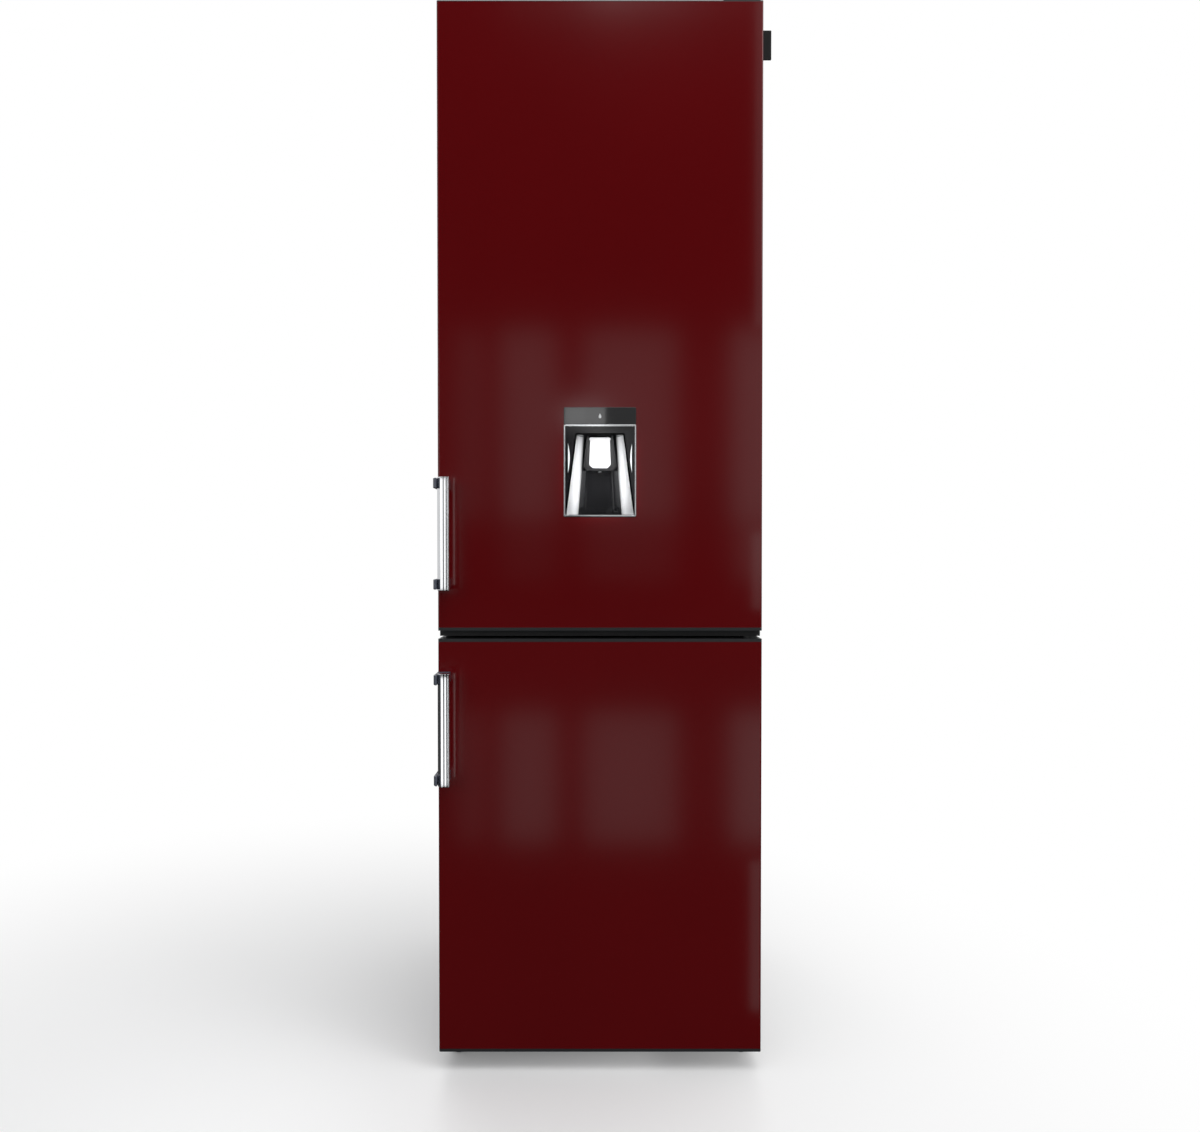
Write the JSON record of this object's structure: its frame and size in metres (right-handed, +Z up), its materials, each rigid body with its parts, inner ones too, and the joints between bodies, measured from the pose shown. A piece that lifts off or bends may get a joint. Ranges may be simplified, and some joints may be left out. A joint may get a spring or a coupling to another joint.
{
  "type": "fridge freezer",
  "caption": "Tall fridge freezer with two right-hinged doors, a water dispenser in the upper door and bar handles.",
  "frame": {"origin": "centre of the footprint, on the floor under the feet", "axes": "+Z up, -Y the front with the doors, +X the hinge side as seen from the front"},
  "size_m": [0.567, 0.621, 1.831],
  "materials": {
    "burgundy_gloss": "polished",
    "case_paint": "satin",
    "galvanised_steel": "satin",
    "zinc_steel": "satin",
    "black_steel": "satin",
    "motor_steel": "satin",
    "crossbar_dark": "satin",
    "foam": "matte",
    "white_liner": "satin",
    "white_plastic": "satin",
    "grey_plastic": "satin",
    "black_plastic": "satin",
    "cap_plastic": "satin",
    "foot_plastic": "matte",
    "bracket_plastic": "satin",
    "chrome_bar": "polished",
    "silver_trim": "polished",
    "lever_silver": "gloss",
    "black_gloss": "polished",
    "niche_gloss": "polished",
    "valve_plastic": "satin",
    "clear_plastic": "gloss",
    "frost_plastic": "gloss",
    "shelf_glass": "polished",
    "lamp_lens": "satin",
    "gasket_rubber": "matte",
    "black_rubber": "matte",
    "bare_aluminium": "satin",
    "compressor_black": "gloss",
    "copper_pipe": "satin",
    "condenser_black": "satin"
  },
  "bodies": {
    "root": {"back_panel": "galvanised_steel", "base_pan": "galvanised_steel", "bottom_hinge": "black_steel", "cabinet_foam": "foam", "centre_crossbar": "crossbar_dark", "compressor": "compressor_black", "compressor_grommets": "black_rubber", "compressor_relay": "black_plastic", "condenser": "condenser_black", "control_housing": "white_plastic", "cord_gland": "black_plastic", "drain_pan_and_hose": "black_plastic", "evaporator": "bare_aluminium", "fan_motor": "motor_steel", "freezer_air_duct": "white_plastic", "freezer_liner": "white_liner", "fridge_air_duct": "white_plastic", "fridge_liner": "white_liner", "glass_shelves": "shelf_glass", "hinge_cover": "black_plastic", "hinge_screws": "zinc_steel", "light_lens": "lamp_lens", "middle_hinge": "black_steel", "outer_case": "case_paint", "refrigerant_pipes": "copper_pipe", "shelf_trims": "white_plastic", "top_hinge": "zinc_steel"},
    "upper_door": {"upper_door_skin": "burgundy_gloss", "upper_door_liner": "white_liner", "upper_door_foam": "foam", "upper_door_end_caps": "cap_plastic", "upper_gasket": "gasket_rubber", "upper_handle_bar": "chrome_bar", "upper_handle_brackets": "bracket_plastic", "dispenser_bezel": "black_gloss", "dispenser_niche": "niche_gloss", "dispenser_trim": "silver_trim", "water_tank": "clear_plastic", "tap_valve": "valve_plastic", "door_bins": "clear_plastic", "side_tab": "black_plastic"},
    "lower_door": {"lower_door_skin": "burgundy_gloss", "lower_door_liner": "white_liner", "lower_door_foam": "foam", "lower_door_end_caps": "cap_plastic", "lower_gasket": "gasket_rubber", "lower_handle_bar": "chrome_bar", "lower_handle_brackets": "bracket_plastic"},
    "crisper_drawer": {"crisper_drawer": "clear_plastic"},
    "freezer_drawer_top": {"freezer_drawer_top": "frost_plastic"},
    "freezer_drawer_middle": {"freezer_drawer_middle": "frost_plastic"},
    "freezer_drawer_bottom": {"freezer_drawer_bottom": "frost_plastic"},
    "dispenser_lever": {"dispenser_lever": "lever_silver"},
    "tank_lid": {"tank_lid": "white_plastic"},
    "thermostat_knob": {"thermostat_knob": "grey_plastic"},
    "fan_blade": {"fan_blade": "grey_plastic"},
    "rear_rollers": {"rear_rollers": "foot_plastic"},
    "foot_left": {"foot_left": "foot_plastic"},
    "foot_right": {"foot_right": "foot_plastic"},
    "light_switch_button": {"light_switch_button": "grey_plastic"}
  },
  "joints": [
    {"name": "upper_door_swing", "type": "hinge", "parent": "root", "child": "upper_door", "pos_m": [0.258, -0.2365, 0.74165], "axis": [0, 0, 1], "range_deg": [0, 135]},
    {"name": "lower_door_swing", "type": "hinge", "parent": "root", "child": "lower_door", "pos_m": [0.258, -0.2365, 0.74165], "axis": [0, 0, 1], "range_deg": [0, 135]},
    {"name": "crisper_slide", "type": "slide", "parent": "root", "child": "crisper_drawer", "axis": [0, -1, 0], "range_m": [0, 0.26]},
    {"name": "freezer_drawer_top_slide", "type": "slide", "parent": "root", "child": "freezer_drawer_top", "axis": [0, -1, 0], "range_m": [0, 0.201]},
    {"name": "freezer_drawer_middle_slide", "type": "slide", "parent": "root", "child": "freezer_drawer_middle", "axis": [0, -1, 0], "range_m": [0, 0.201]},
    {"name": "freezer_drawer_bottom_slide", "type": "slide", "parent": "root", "child": "freezer_drawer_bottom", "axis": [0, -1, 0], "range_m": [0, 0.201]},
    {"name": "light_switch_slide", "type": "slide", "parent": "root", "child": "light_switch_button", "axis": [0, -1, 0], "range_m": [0, 0.006]},
    {"name": "dispenser_lever_push", "type": "hinge", "parent": "upper_door", "child": "dispenser_lever", "pos_m": [0, -0.248, 1.0806], "axis": [1, 0, 0], "range_deg": [0, 12], "stiffness_Nm_per_rad": 0.08, "springref_deg": -11.46},
    {"name": "tank_lid_hinge", "type": "hinge", "parent": "upper_door", "child": "tank_lid", "pos_m": [0, -0.1711, 1.2659], "axis": [1, 0, 0], "range_deg": [0, 95]},
    {"name": "thermostat_knob_turn", "type": "hinge", "parent": "root", "child": "thermostat_knob", "pos_m": [0.055, -0.1595, 1.7475], "axis": [0, -1, 0], "range_deg": [0, 300]},
    {"name": "fan_spin", "type": "hinge", "parent": "root", "child": "fan_blade", "pos_m": [0, 0.1485, 0.632], "axis": [0, 1, 0], "continuous": true},
    {"name": "rear_roller_spin", "type": "hinge", "parent": "root", "child": "rear_rollers", "pos_m": [0, 0.2465, 0.016], "axis": [1, 0, 0], "continuous": true},
    {"name": "foot_left_turn", "type": "hinge", "parent": "root", "child": "foot_left", "pos_m": [-0.25, -0.1915, 0], "axis": [0, 0, 1], "continuous": true},
    {"name": "foot_right_turn", "type": "hinge", "parent": "root", "child": "foot_right", "pos_m": [0.25, -0.1915, 0], "axis": [0, 0, 1], "continuous": true}
  ],
  "couplings": [
    {"joint": "crisper_slide", "follows": "upper_door_swing", "m_per_rad": 0.11},
    {"joint": "light_switch_slide", "follows": "upper_door_swing", "m_per_rad": 0.0025},
    {"joint": "freezer_drawer_top_slide", "follows": "lower_door_swing", "m_per_rad": 0.085},
    {"joint": "freezer_drawer_middle_slide", "follows": "lower_door_swing", "m_per_rad": 0.085},
    {"joint": "freezer_drawer_bottom_slide", "follows": "lower_door_swing", "m_per_rad": 0.085}
  ]
}
